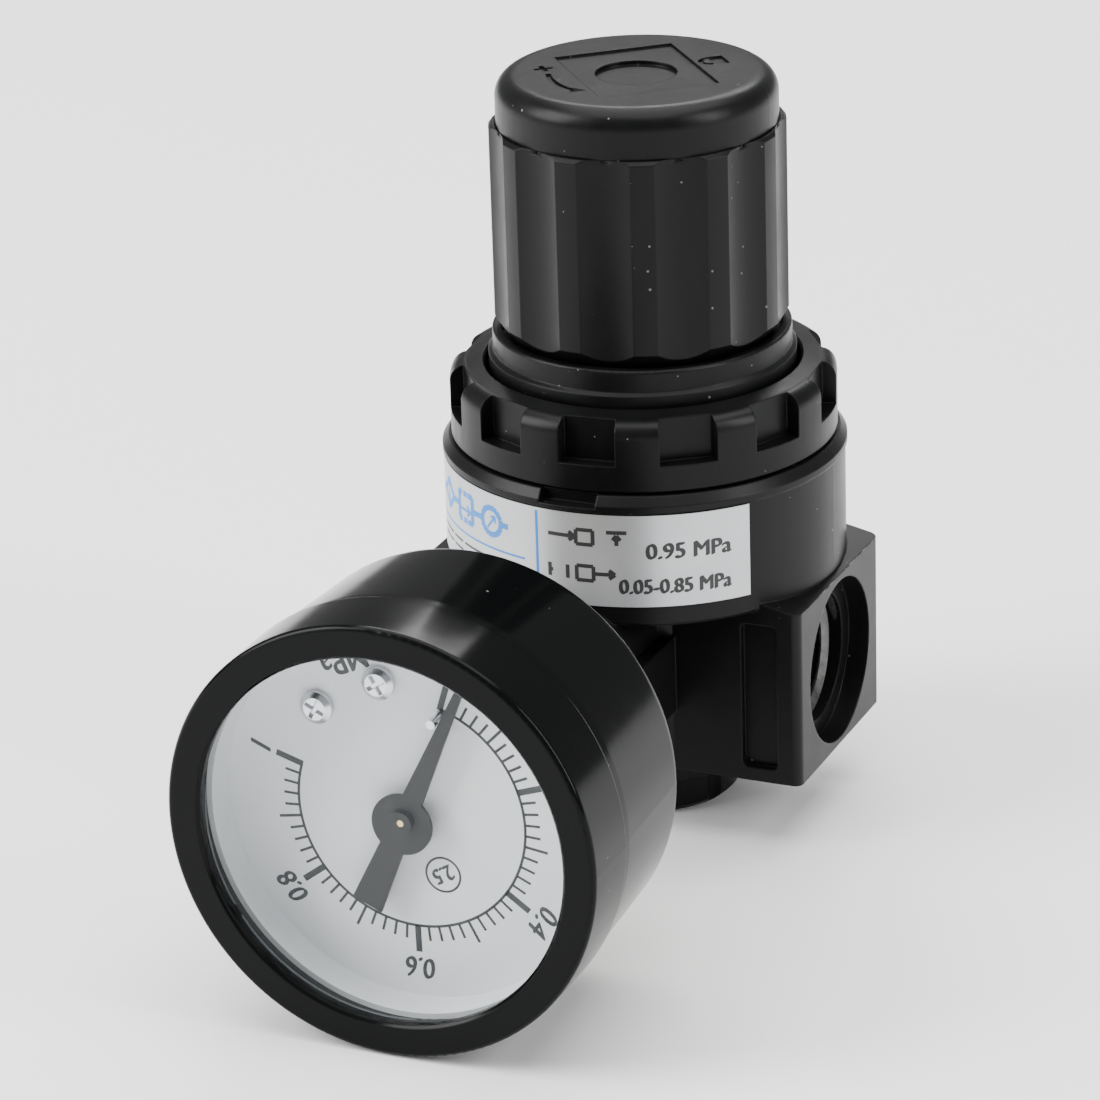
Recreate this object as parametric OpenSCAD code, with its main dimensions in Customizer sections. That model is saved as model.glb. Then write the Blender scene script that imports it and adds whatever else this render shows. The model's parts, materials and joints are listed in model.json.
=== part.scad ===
// Relieving diaphragm pressure regulator with a push-lock knob and a dial gauge.
// Origin: centre of the bottom plug's face, on the knob's axis. +Z up towards the knob,
// +X towards the outlet port, -Y towards the gauge.

/* [Body] */
// Outside diameter of the round upper body
shell_d = 40; // [36:0.5:50]
// Wall of the round upper body
shell_wall = 2; // [1.6:0.1:3]
// Height of the round upper body above the port block
shell_h = 13.5; // [12.5:0.5:18]
// Height of the port axis above the base
port_z = 16.1; // [15:0.1:20]
// Length over the two port faces
port_span = 41.1; // [38:0.1:52]
// Width of the port block
block_w = 22.8; // [21:0.1:30]
// Height of the port block
block_h = 18.2; // [17.6:0.1:20]
// Radius of the port block's upright corners
block_corner = 0.9; // [0.3:0.1:2]

/* [Ports] */
// Major radius of the inlet and outlet threads
port_r = 6.58; // [4.9:0.01:7.5]
// Radius of the relief at each port's mouth
mouth_r = 8.45; // [7.6:0.05:8.6]
// Depth of the relief at each port's mouth
mouth_depth = 2.2; // [1:0.1:3]
// Wall between a port's end and the valve chamber
port_web = 2.35; // [1.5:0.05:4]
// Major radius of the gauge port threads
gauge_port_r = 4.86; // [4:0.01:5.2]
// Depth of the gauge port threads
gauge_port_depth = 8.2; // [6:0.1:10]
// Height of the gauge axis above the port axis
gauge_rise = 5.3; // [3:0.1:6]
// Distance from the knob axis to the front gauge boss's face
boss_reach = 28; // [26:0.5:36]
// Wall around the gauge port threads
boss_wall = 1.1; // [0.9:0.1:3]

/* [Clamp slots] */
// Width of the four clamp slots in the port block's sides
slot_w = 3.7; // [2:0.1:5]
// Height of the clamp slots
slot_h = 15.4; // [10:0.1:16]
// Depth of the clamp slots
slot_depth = 0.8; // [0.4:0.1:1.5]
// Distance from a port face to the near edge of its clamp slot
slot_inset = 2.4; // [1.5:0.1:4]

/* [Lock ring] */
// Height of the lock ring above the body
ring_h = 7.6; // [6.5:0.1:10]
// How far the lock ring stays inside the body's outline
ring_inset = 0.75; // [0.3:0.05:1.2]
// Wall of the lock ring's threaded skirt
skirt_wall = 2.3; // [1.8:0.1:3]
// Number of spanner pockets
pocket_n = 12; // [8:1:16]
// Width of a spanner pocket at its floor
pocket_w = 5.2; // [4:0.1:6]
// Depth of a spanner pocket
pocket_depth = 1.6; // [1:0.1:1.7]
// Height of the solid band under the pockets
pocket_band = 2.9; // [2:0.1:4]
// Turn of the first pocket from the outlet side
pocket_turn = 5.4; // [0:0.1:30]

/* [Bonnet and knob] */
// Height of the bonnet's collar above the lock ring
collar_rise = 3.5; // [2:0.1:6]
// Height of the knob below its cap
knob_h = 20.7; // [18:0.1:28]
// Step from the bonnet's side in to the knob's flutes
knob_inset = 1.4; // [1.1:0.1:2.5]
// Wall of the knob's skirt
knob_wall = 1.6; // [1.2:0.1:2]
// Height of a grip rib above the flutes
rib_h = 0.65; // [0.3:0.05:1]
// Number of grip ribs
rib_n = 12; // [8:1:20]
// Radius of the hollow flutes between the ribs
flute_bend = 8.6; // [5:0.1:12]
// Turn of the first rib from the outlet side
rib_turn = 24; // [0:0.1:30]
// Height of the knob's cap
cap_h = 5.2; // [4.6:0.1:7]
// How far the knob pulls up to unlock
pull_travel = 2.5; // [1.5:0.1:2.6]

/* [Regulating parts] */
// Radius of the valve chamber
valve_r = 7.2; // [6:0.1:8.7]
// Radius of the hole through the valve seat
seat_r = 2.7; // [2:0.1:3.2]
// Thickness of the diaphragm
diaphragm_t = 0.8; // [0.5:0.1:1.2]
// Travel of the diaphragm and the valve
valve_travel = 0.9; // [0.4:0.1:1.1]
// Radius of the adjusting screw's thread
screw_r = 4; // [3:0.1:4.3]
// Pitch of the adjusting screw's thread
screw_pitch = 1.25; // [0.8:0.05:1.5]
// Turns of the knob from no pressure to full pressure
knob_turns = 6; // [4:1:7]
// Wire radius of the adjusting spring
wire_r = 0.95; // [0.6:0.05:1.1]
// Coils of the adjusting spring
coils = 5.5; // [4:0.5:7]

/* [Gauge] */
// Outside radius of the gauge's bezel
gauge_r = 21.3; // [19:0.1:26]
// Length of the gauge stem between the boss and the case
stem_len = 13.4; // [11:0.1:20]
// Depth of the gauge from its back to its front edge
gauge_depth = 23.3; // [21:0.1:28]
// Depth of the bezel
bezel_h = 7.6; // [6.5:0.1:9]
// Width of the bezel's front ring
bezel_face = 3.2; // [2.5:0.1:4.5]
// Depth of the dial behind the bezel's front
dial_depth = 7.3; // [6.5:0.1:8.5]
// Thickness of the gauge's clear window
window_t = 1.8; // [1:0.1:2.2]
// Angle of the middle of the dial's gap
gap_angle = 117.5; // [0:0.5:180]
// Angle of the pointer at rest
pointer_angle = 66; // [0:0.5:180]
// Teeth on the pointer's pinion
pinion_teeth = 10; // [8:1:14]
// Teeth that the sector's full circle would have
sector_teeth = 80; // [60:2:90]
// Gear module of the pinion and the sector
gear_module = 0.2; // [0.18:0.01:0.22]

/* [Clearances] */
// Radial clearance of a shaft that turns or slides in a hole
slip = 0.05; // [0.02:0.01:0.1]
// Radial clearance of two screwed or pressed parts
seat_gap = 0.05; // [0.02:0.01:0.1]
// Clearance between parts that move past each other
free_gap = 0.3; // [0.2:0.05:0.5]

/* [Hidden] */
$fn = 96;
cut = 0.1;                                   // how far a cutting shape runs past a face
play = 0.05;                                 // gap along the axis between parts that meet
black = [0.04, 0.04, 0.045];
steel = [0.7, 0.7, 0.72];
brass = [0.78, 0.6, 0.3];
rubber = [0.08, 0.08, 0.08];

// Heights, from the base up
block_bottom = port_z - block_h / 2;
block_top = port_z + block_h / 2;
rim_z = block_top + shell_h;
seat_z = port_z + 3.9;                       // underside of the wall that holds the valve seat
seat_lip = 0.6;                              // height of the lip round the valve seat
floor_z = block_top + 1.3;                   // floor of the diaphragm chamber
ledge_z = floor_z + 3;                       // ledge that the diaphragm's edge lies on
flange_bottom = ledge_z + diaphragm_t;
flange_t = 2.5;
flange_top = flange_bottom + flange_t;
ring_top = rim_z + ring_h;
collar_z = ring_top + collar_rise;
knob_bottom = collar_z - 0.2;
seam_z = knob_bottom + knob_h;
top_z = seam_z + cap_h;
neck_z = seam_z - 4.3;                       // top of the bonnet's neck
gauge_z = port_z + gauge_rise;

// Radii, from the shell in
shell_r = shell_d / 2;
lip_r = shell_r + 0.2;                       // rounded lip at the shell's rim
bore_r = shell_r - shell_wall;
skirt_r = bore_r - seat_gap;
ring_r = shell_r - ring_inset;
ring_bore = skirt_r - skirt_wall;
bonnet_r = ring_bore - 0.35;
flange_r = bore_r - 0.8;
chamber_r = bore_r - 4;                      // radius of the diaphragm chamber
flute_r = bonnet_r - knob_inset;
rib_r = flute_r + rib_h;
collar_r = bonnet_r - 0.45;
knob_bore = flute_r - knob_wall;
neck_r = knob_bore - free_gap;
neck_wall = 1.9;
spring_room = neck_r - neck_wall;            // radius of the spring's chamber
detent_wire = 0.55;                          // radius of the detent ring's section
detent_r = knob_bore - slip - detent_wire;   // radius of the detent ring
detent_z = knob_bottom + 7;
cup_wall = 1.3;                              // knob's wall round the foot of its cap

// Valve and plug
port_depth = port_span / 2 - valve_r - port_web;
riser_r = min(2, (chamber_r - valve_r - 1) / 2);
riser_x = min(port_span / 2 - port_depth + 2.1, chamber_r - riser_r - 0.2);
plug_r = valve_r + 1.64;
plug_head = 3.3;                             // height of the plug's head
boss_bottom = plug_head + 0.1;               // underside of the body's plug boss
plug_top = block_bottom + 3.4;
guide_top = plug_top + 1.1;
seal_groove = 1.6;                           // depth of the O-ring's groove in the plug
seal_groove_z = boss_bottom + 1.1;
seal_groove_h = 1.7;
rear_hex_af = 5;                             // socket of the rear plug
stem_r = 1.8;                                // valve's lower stem
pin_r = 1.2;                                 // valve's upper stem
head_r = valve_r - 2.2;
head_bottom = seat_z - 5.4;
seal_t = 1.3;
seal_top = seat_z - seat_lip - 0.05;
seal_bottom = seal_top - seal_t;
relief_z = ledge_z - 1.3;                    // underside of the relief seat
relief_hole = 0.8;
relief_stud = 2.1;
plate_t = 1.1;
plate_bottom = flange_bottom + 0.05;
plate_top = plate_bottom + plate_t;

// Adjusting gear
top_wall = 2;                                // bonnet's wall over the spring's chamber
washer_t = 0.8;
collar_t = 1.2;                              // adjusting screw's thrust collar
collar_out = 2.4;                            // how far that collar stands out from the screw
nut_h = 5;
nut_top = neck_z - top_wall - washer_t - collar_t - 1;
nut_bottom = nut_top - nut_h;
nut_drop = knob_turns * screw_pitch;
nut_r = spring_room - free_gap - 0.2;
key_w = 2;                                   // width of the two guides inside the bonnet
key_h = 1.2;
screw_end = nut_bottom - nut_drop - 6;
hex_af = 6.5;
cap_wall = 1.9;                              // thickness of the cap's top
hex_top = top_z - cap_wall - 1;
plate_z = seam_z - 3.1;                      // underside of the knob's top plate
plate_h = 2;
coil_r = spring_room - wire_r - 1.2;
hub_r = coil_r - wire_r - 0.3;               // spigots that centre the adjusting spring

// Gauge, as distances from the knob axis along the gauge's own axis
case_back = boss_reach + stem_len;
gauge_front = case_back + gauge_depth;
bezel_back = gauge_front - bezel_h;
window_front = gauge_front - 1.1;
window_back = window_front - window_t;
gasket_t = 0.8;
case_front = window_back - gasket_t;
dial_face = gauge_front - dial_depth;
dial_t = 0.5;
dial_back = dial_face - dial_t;
case_wall = 0.8;
case_inside = case_back + case_wall;
stem_seal_t = 1.1;
stem_neck = 5;                               // radius of the stem where it passes the case's back
face_r = gauge_r - bezel_face;               // edge of the window that shows
case_r = gauge_r - 0.8;                      // case inside the bezel
back_r = gauge_r - 0.9;                      // case at its back
case_bore = case_r - case_wall;
block_front = case_inside + 5.8;             // front of the socket inside the case
plate_gap = 5.2;                             // between the movement's plates
move_t = 0.8;                                // thickness of the movement's plates
back_plate = block_front;
front_plate = back_plate + move_t + plate_gap;
gear_t = 1;
gear_base = back_plate + move_t + 1.6;
pinion_t = 2;
arbor_angle = 200;
tail_angle = 110;                            // direction of the sector's tail at rest
tail_len = 4;
tail_w = 1.8;                                // width of the sector's tail
link_w = 1.4;
link_pin_r = 0.4;                            // hole for the link's pin
pitch_pinion = gear_module * pinion_teeth / 2;
pitch_sector = gear_module * sector_teeth / 2;
centre_gap = pitch_pinion + pitch_sector;
shaft_r = 0.6;
shaft_tip_r = 0.35;                          // end of the shaft that the pointer is pressed on
arbor_r = 0.7;
tube_mid = case_bore - 4.3;                  // mean radius of the pressure tube
tube_sweep = 245;
tube_h = 5;
tube_w = 1.6;
tube_back = case_inside + 0.6;
socket_w = 9;                                // width of the block that holds the tube's foot
tube_start = -acos((socket_w / 2 + 0.01) / (tube_mid - tube_w / 2));
post_r = 1.3;                                // posts that carry the dial
screw_spread = 16;                           // dial screws, each side of the dial's gap
screw_ring = tube_mid - tube_w / 2 - post_r - 0.3;
dial_screw_r = 0.8;
pointer_z = dial_face + 1.4;
pointer_t = 0.35;
pointer_hub = 1.05;                          // height of the boss that grips the shaft
pointer_tip = 14.6;
pointer_tail = 10;
tail_half = 1.55;                            // half width of the pointer's tail
stop_r = 0.45;
stop_at = norm([pointer_tail, tail_half]) + stop_r + 0.25;

// A point at a radius and an angle
function polar(r, a) = [r * cos(a), r * sin(a)];

// Points of an arc, its ends included
function arc(c, r, a0, a1, n = 8) = [for (i = [0:n]) c + polar(r, a0 + (a1 - a0) * i / n)];

// Turns a shape from upright to the gauge's axis, its foot at the knob axis
module at_gauge(z = 0) {
    translate([0, 0, gauge_z]) rotate([90, 0, 0]) translate([0, 0, z]) children();
}

// A tube or ring of one height
module ring(r_out, r_in, h) {
    difference() {
        cylinder(r = r_out, h = h);
        translate([0, 0, -cut]) cylinder(r = r_in, h = h + 2 * cut);
    }
}

// A flat slot with round ends, from one point to another along X
module slot2d(x0, x1, r) {
    translate([x0, -r]) square([x1 - x0, 2 * r]);
    translate([x0, 0]) circle(r);
    translate([x1, 0]) circle(r);
}

// A rectangle with round corners
module round_rect(w, h, r) {
    square([w - 2 * r, h], center = true);
    square([w, h - 2 * r], center = true);
    for (sx = [-1, 1], sy = [-1, 1]) translate([sx * (w / 2 - r), sy * (h / 2 - r)]) circle(r);
}

// A round wire along a helix, closed at both ends
module coil_spring(r, wire, z0, z1, turns) {
    sides = 8;
    steps = ceil(turns * 20);
    ring_points = [for (i = [0:steps], k = [0:sides - 1])
        let (a = 360 * turns * i / steps, b = 360 * k / sides)
        [(r + wire * cos(b)) * cos(a), (r + wire * cos(b)) * sin(a),
         z0 + wire + (z1 - z0 - 2 * wire) * i / steps + wire * sin(b)]];
    walls = [for (i = [0:steps - 1], k = [0:sides - 1])
        let (p = i * sides + k, q = i * sides + (k + 1) % sides)
        [p, p + sides, q + sides, q]];
    first_end = [[for (k = [0:sides - 1]) k]];
    last_end = [[for (k = [sides - 1:-1:0]) steps * sides + k]];
    polyhedron(points = ring_points, faces = concat(walls, first_end, last_end), convexity = 10);
}

// ---- Body ----

// Outline of the shell's upper part, turned about the knob axis
module shell_solid() {
    core_r = shell_r - 6.5;
    edge = 0.4;
    rotate_extrude()
        polygon([[0, block_bottom], [core_r, block_bottom], [core_r, block_top],
                 [shell_r - edge, block_top], [shell_r, block_top + edge],
                 [shell_r, rim_z - 1.75], [lip_r, rim_z - 1.5], [lip_r, rim_z - 0.9],
                 [ring_r + 0.25, rim_z], [0, rim_z]]);
}

// The bar that holds the two ports, its top rising to meet the shell
module port_block() {
    roof_rise = 1.1;
    roof_in = 5.1;
    intersection() {
        translate([0, 0, block_bottom]) linear_extrude(block_h + roof_rise)
            round_rect(port_span, block_w, block_corner);
        rotate([90, 0, 0]) translate([0, 0, -block_w / 2]) linear_extrude(block_w)
            polygon([[-port_span / 2, block_bottom], [port_span / 2, block_bottom],
                     [port_span / 2, block_top], [port_span / 2 - roof_in, block_top + roof_rise],
                     [roof_in - port_span / 2, block_top + roof_rise], [-port_span / 2, block_top]]);
    }
}

// A boss for one gauge port, from the middle of the body out to a distance
module gauge_boss(reach) {
    r = gauge_port_r + boss_wall;
    foot_side = 1.5;                         // how far the boss's square foot stands out on each side
    foot_drop = 2;
    at_gauge() cylinder(r = r, h = reach);
    translate([-r - foot_side, -reach, gauge_z - r - foot_drop])
        cube([2 * (r + foot_side), reach, r + foot_drop]);
}

// One clamp slot, cut into the side of the port block
module clamp_slot() {
    slot_corner = 0.6;
    rotate([90, 0, 0]) linear_extrude(slot_depth + cut) round_rect(slot_w, slot_h, slot_corner);
}

// The drilled way of one gauge port, up into the diaphragm chamber
module gauge_way(reach) {
    way_r = 1.2;
    way_y = chamber_r - 2.5;
    at_gauge(reach - gauge_port_depth) cylinder(r = gauge_port_r, h = gauge_port_depth + cut);
    at_gauge(way_y - way_r) cylinder(r = way_r, h = reach - way_y);
    translate([0, -way_y, gauge_z]) cylinder(r = way_r, h = floor_z - gauge_z + cut);
}

module body() {
    slot_x = port_span / 2 - slot_inset - slot_w / 2;
    rear_reach = shell_r;
    inlet_way_r = 3.2;
    notch_w = 5.9;
    notch_t = 2;
    notch_depth = 1.2;
    boss_rim = 0.25;                         // how far the plug's boss stands out from the plug
    lip_w = 0.8;                             // width of the lip round the valve seat
    color(black) difference() {
        union() {
            shell_solid();
            port_block();
            translate([0, 0, boss_bottom])
                cylinder(r = plug_r + boss_rim, h = block_bottom - boss_bottom + cut);
            gauge_boss(boss_reach);
            rotate([0, 0, 180]) gauge_boss(rear_reach);
        }
        // seat of the diaphragm, the bonnet and the lock ring
        translate([0, 0, ledge_z]) cylinder(r = bore_r, h = rim_z - ledge_z + cut);
        translate([0, 0, floor_z]) cylinder(r = chamber_r, h = ledge_z - floor_z + cut);
        // valve chamber, with the lip of the seat left standing
        difference() {
            translate([0, 0, boss_bottom - cut]) cylinder(r = valve_r, h = seat_z - boss_bottom + cut);
            translate([0, 0, seat_z - seat_lip]) cylinder(r = seat_r + lip_w, h = seat_lip + cut);
        }
        translate([0, 0, seat_z - seat_lip - cut]) cylinder(r = seat_r, h = floor_z - seat_z + 2);
        // inlet and outlet
        for (side = [-1, 1]) translate([side * port_span / 2, 0, port_z]) rotate([0, side * 90, 0]) {
            translate([0, 0, -port_depth]) cylinder(r = port_r, h = port_depth + cut);
            translate([0, 0, -mouth_depth]) cylinder(r = mouth_r, h = mouth_depth + cut);
        }
        translate([-port_span / 2 + port_depth - cut, 0, port_z]) rotate([0, 90, 0])
            cylinder(r = inlet_way_r, h = port_web + 2);
        translate([riser_x, 0, port_z]) cylinder(r = riser_r, h = floor_z - port_z + cut);
        // gauge ports
        gauge_way(boss_reach);
        rotate([0, 0, 180]) gauge_way(rear_reach);
        // clamp slots
        for (sx = [-1, 1]) {
            translate([sx * slot_x, slot_depth - block_w / 2, port_z]) clamp_slot();
            translate([sx * slot_x, block_w / 2 + cut, port_z]) clamp_slot();
        }
        // notches in the rim for seating the bonnet
        for (side = [-1, 1])
            translate([-notch_w / 2, side * (lip_r - 0.5) - notch_t / 2, rim_z - notch_depth])
                cube([notch_w, notch_t, notch_t]);
    }
}

module label() {
    label_bottom = block_top + 2.2;
    label_h = 9.5;
    label_start = -161.3;
    label_sweep = 123.6;
    foil_t = 0.1;
    color([0.75, 0.75, 0.78]) rotate([0, 0, label_start]) rotate_extrude(angle = label_sweep)
        translate([shell_r + 0.02, label_bottom]) square([foil_t, label_h]);
}

module lock_ring() {
    shoulder = 1.7;                          // radius of the ring's rounded upper edge
    edge = 0.3;
    under = rim_z + play;
    shoulder_z = ring_top - edge - shoulder;
    splay = 0.5;                             // how far each side of a pocket opens outwards
    color(black) difference() {
        rotate_extrude() {
            polygon([[ring_bore, flange_top + play], [skirt_r, flange_top + play],
                     [skirt_r, under], [ring_r - edge, under], [ring_r, under + edge],
                     [ring_r, shoulder_z], [ring_r - shoulder, shoulder_z + shoulder],
                     [ring_bore + edge, ring_top], [ring_bore, ring_top - edge]]);
            translate([ring_r - shoulder, shoulder_z]) circle(shoulder);
        }
        for (i = [0:pocket_n - 1]) rotate([0, 0, pocket_turn + i * 360 / pocket_n])
            translate([ring_r - pocket_depth, 0, rim_z + pocket_band]) linear_extrude(ring_h)
                polygon([[0, -pocket_w / 2], [pocket_depth + 1, -pocket_w / 2 - splay],
                         [pocket_depth + 1, pocket_w / 2 + splay], [0, pocket_w / 2]]);
    }
}

// ---- Bonnet, knob and adjusting gear ----

module bonnet() {
    step_z = collar_z - 2.2;                 // where the bonnet steps in to its collar
    edge = 0.3;
    neck_edge = 0.5;
    trough_z = knob_bottom - 0.8;            // floor of the trough that the knob's skirt dips into
    vent_r = 0.7;
    vent_drop = 4.6;                         // from the step down to the vent
    room_h = 3.2;
    room_r = chamber_r - 0.4;
    color(black) difference() {
        rotate_extrude() {
            polygon([[0, flange_bottom], [flange_r, flange_bottom], [flange_r, flange_top],
                     [bonnet_r, flange_top], [bonnet_r, step_z - edge], [collar_r, step_z],
                     [collar_r, collar_z - edge], [collar_r - edge, collar_z],
                     [flute_r, collar_z], [flute_r, trough_z], [neck_r, trough_z],
                     [neck_r, neck_z - neck_edge], [neck_r - neck_edge, neck_z], [0, neck_z]]);
            translate([collar_r - edge, collar_z - edge]) circle(edge);
        }
        // spring's chamber with its two guides, and the wider room over the diaphragm
        difference() {
            translate([0, 0, flange_bottom - cut])
                cylinder(r = spring_room, h = neck_z - top_wall - flange_bottom + cut);
            for (side = [-1, 1])
                translate([side * spring_room - key_h, -key_w / 2, nut_bottom - nut_drop - 1])
                    cube([2 * key_h, key_w, neck_z - nut_bottom + nut_drop]);
        }
        translate([0, 0, flange_bottom - cut]) cylinder(r = room_r, h = room_h + cut);
        translate([0, 0, neck_z - top_wall - cut]) cylinder(r = screw_r + slip, h = top_wall + 2 * cut);
        // groove of the detent ring
        translate([0, 0, detent_z - detent_wire - cut])
            ring(neck_r + cut, detent_r - detent_wire - seat_gap, 2 * (detent_wire + cut));
        // vent of the spring's chamber
        translate([0, 0, step_z - vent_drop]) rotate([0, 90, 90]) cylinder(r = vent_r, h = shell_r);
    }
}

// Springs into a groove inside the knob, and so holds the knob down or up
module detent_ring() {
    color(rubber) rotate_extrude() translate([detent_r, detent_z]) circle(detent_wire, $fn = 32);
}

// Outline of the knob's skirt: hollow flutes with a narrow rib between each two
module knob_outline() {
    difference() {
        circle(rib_r);
        for (i = [0:rib_n - 1]) rotate(rib_turn + (i + 0.5) * 360 / rib_n)
            translate([flute_r + flute_bend, 0]) circle(flute_bend);
    }
}

module knob() {
    rib_top = seam_z + 0.4;
    groove_r = detent_wire + 0.07;
    hex_gap = 0.1;
    foot_in = 0.65;                          // how far the skirt's lower edge leans in from the flutes
    foot_h = 1.6;
    edge = 0.35;
    color(black) difference() {
        intersection() {
            translate([0, 0, knob_bottom]) linear_extrude(rib_top - knob_bottom) knob_outline();
            rotate_extrude()
                polygon([[0, knob_bottom], [flute_r - foot_in, knob_bottom], [rib_r, knob_bottom + foot_h],
                         [rib_r, rib_top - edge], [rib_r - edge, rib_top], [0, rib_top]]);
        }
        translate([0, 0, knob_bottom - cut]) cylinder(r = knob_bore, h = plate_z - knob_bottom + cut);
        translate([0, 0, plate_z - cut])
            cylinder(r = hex_af / sqrt(3) + hex_gap, h = plate_h + 2 * cut, $fn = 6);
        translate([0, 0, plate_z + plate_h]) cylinder(r = flute_r - cup_wall, h = cap_h);
        translate([0, 0, seam_z]) cylinder(r = flute_r, h = cap_h);
        // grooves that the detent ring springs into, knob down and knob up
        for (lift = [0, pull_travel]) translate([0, 0, detent_z - lift])
            rotate_extrude() translate([knob_bore, 0]) circle(groove_r, $fn = 32);
    }
}

module knob_cap() {
    r = flute_r - 0.06;
    edge = 2.1;                              // radius of the cap's rounded upper edge
    foot_r = flute_r - cup_wall - play;
    pad_w = 12.1;
    pad_l = 14.4;
    pad_depth = 0.25;
    pad_turn = -49;
    dish_r = 4;
    dish_depth = 0.7;
    mark_r = 8.2;                            // distance of the marks from the middle
    mark_depth = 0.25;
    line = 0.5;                              // width of the marks' lines
    plus = 1.9;
    arrow_sweep = 42;
    lock_w = 2.6;
    lock_h = 1.5;
    shackle_r = 0.75;
    color(black) difference() {
        rotate_extrude() {
            polygon([[0, plate_z + plate_h + play], [foot_r, plate_z + plate_h + play],
                     [foot_r, seam_z + 0.03], [r, seam_z + 0.03],
                     [r, top_z - edge], [r - edge, top_z], [0, top_z]]);
            translate([r - edge, top_z - edge]) circle(edge);
        }
        translate([0, 0, seam_z - 2])
            cylinder(r = foot_r - cap_wall, h = top_z - cap_wall - seam_z + 2);
        // sunk panel with a round dish in it
        translate([0, 0, top_z - dish_depth]) cylinder(r = dish_r, h = dish_depth + cut);
        rotate([0, 0, pad_turn]) {
            translate([-pad_l / 2, -pad_w / 2, top_z - pad_depth]) cube([pad_l, pad_w, pad_depth + cut]);
            translate([0, 0, top_z - mark_depth]) {
                // plus sign and turning arrow, for more pressure
                translate([-4.2, -mark_r - plus / 2, 0]) cube([line, plus, mark_depth + cut]);
                translate([-4.2 + line / 2 - plus / 2, -mark_r - line / 2, 0])
                    cube([plus, line, mark_depth + cut]);
                rotate([0, 0, -105]) rotate_extrude(angle = arrow_sweep)
                    translate([mark_r + 0.1, 0]) square([line, mark_depth + cut]);
                translate([3.9, -mark_r + 0.9, 0]) linear_extrude(mark_depth + cut)
                    polygon([[-0.9, -0.3], [0.6, -0.9], [0.5, 0.8]]);
                // padlock
                translate([-lock_w / 2, mark_r - 0.5, 0]) cube([lock_w, lock_h, mark_depth + cut]);
                translate([0, mark_r - 0.5, 0]) rotate([0, 0, 180]) rotate_extrude(angle = 180)
                    translate([shackle_r, 0]) square([line, mark_depth + cut]);
            }
        }
    }
}

module adjusting_screw() {
    collar_z0 = neck_z - top_wall - washer_t - collar_t;
    tip = 0.8;
    color(steel) {
        translate([0, 0, screw_end]) cylinder(r1 = screw_r - tip, r2 = screw_r, h = tip);
        translate([0, 0, screw_end + tip]) cylinder(r = screw_r, h = neck_z + play - screw_end - tip);
        translate([0, 0, collar_z0]) cylinder(r = screw_r + collar_out, h = collar_t);
        translate([0, 0, neck_z]) cylinder(r = hex_af / sqrt(3), h = hex_top - neck_z, $fn = 6);
    }
}

module thrust_washer() {
    lie = 0.02;
    color(brass) translate([0, 0, neck_z - top_wall - washer_t + lie])
        ring(screw_r + collar_out + 0.5, screw_r + free_gap, washer_t - 2 * lie);
}

module spring_nut() {
    edge = 0.5;
    spigot_h = 1.5;
    key_gap = 0.25;
    color(brass) difference() {
        union() {
            translate([0, 0, nut_bottom]) cylinder(r = nut_r, h = nut_h - edge);
            translate([0, 0, nut_top - edge]) cylinder(r1 = nut_r, r2 = nut_r - edge, h = edge);
            translate([0, 0, nut_bottom - spigot_h]) cylinder(r = hub_r, h = spigot_h + cut);
        }
        translate([0, 0, nut_bottom - spigot_h - cut])
            cylinder(r = screw_r + slip, h = nut_h + spigot_h + 2 * cut);
        for (side = [-1, 1]) translate([side * nut_r - key_h, -key_w / 2 - key_gap, nut_bottom - cut])
            cube([2 * key_h, key_w + 2 * key_gap, nut_h + 2 * cut]);
    }
}

module adjusting_spring() {
    color(steel) coil_spring(coil_r, wire_r, plate_top, nut_bottom, coils);
}

module spring_seat() {
    seat_r_out = chamber_r - 1.4;
    hub_taper = 0.6;
    hub_h = 1.3;
    color(steel) difference() {
        union() {
            translate([0, 0, plate_bottom]) cylinder(r = seat_r_out, h = plate_t);
            translate([0, 0, plate_top - cut]) cylinder(r1 = hub_r, r2 = hub_r - hub_taper, h = hub_h + cut);
        }
        translate([0, 0, plate_bottom - cut])
            cylinder(r = relief_stud + seat_gap, h = plate_t + hub_h + 2 * cut);
    }
}

// ---- Diaphragm and valve ----

module diaphragm() {
    bead_r = 1.3;
    bead_at = chamber_r - 2.4;
    thin = diaphragm_t - 0.1;
    color(rubber) rotate_extrude()
        polygon(concat([[relief_stud + seat_gap, ledge_z], [bead_at - bead_r, ledge_z]],
                       arc([bead_at, ledge_z], bead_r, 180, 360, 8),
                       [[flange_r, ledge_z], [flange_r, flange_bottom],
                        [bead_at + bead_r - thin, flange_bottom]],
                       arc([bead_at, ledge_z + 0.1], bead_r - thin, 360, 180, 8),
                       [[bead_at - bead_r + thin, flange_bottom], [relief_stud + seat_gap, flange_bottom]]));
}

module relief_seat() {
    plate_r = 6;
    stud_out = 0.9;                          // how far the stud stands above the spring seat
    stud_h = plate_top + stud_out - relief_z;
    color(brass) difference() {
        union() {
            translate([0, 0, relief_z]) cylinder(r = plate_r, h = ledge_z - relief_z - play);
            translate([0, 0, relief_z]) cylinder(r = relief_stud, h = stud_h);
        }
        translate([0, 0, relief_z - cut]) cylinder(r = relief_hole, h = stud_h + 2 * cut);
    }
}

module valve_poppet() {
    foot_z = boss_bottom + 1.4;
    pin_top = relief_z - play;
    tip = 0.4;
    color(brass) {
        translate([0, 0, foot_z]) cylinder(r = stem_r, h = head_bottom - foot_z + cut);
        translate([0, 0, head_bottom]) cylinder(r = head_r, h = seal_bottom - head_bottom);
        translate([0, 0, seal_bottom - cut]) cylinder(r = pin_r, h = pin_top - tip - seal_bottom + cut);
        translate([0, 0, pin_top - tip]) cylinder(r1 = pin_r, r2 = pin_r - 0.3, h = tip);
    }
}

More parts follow.
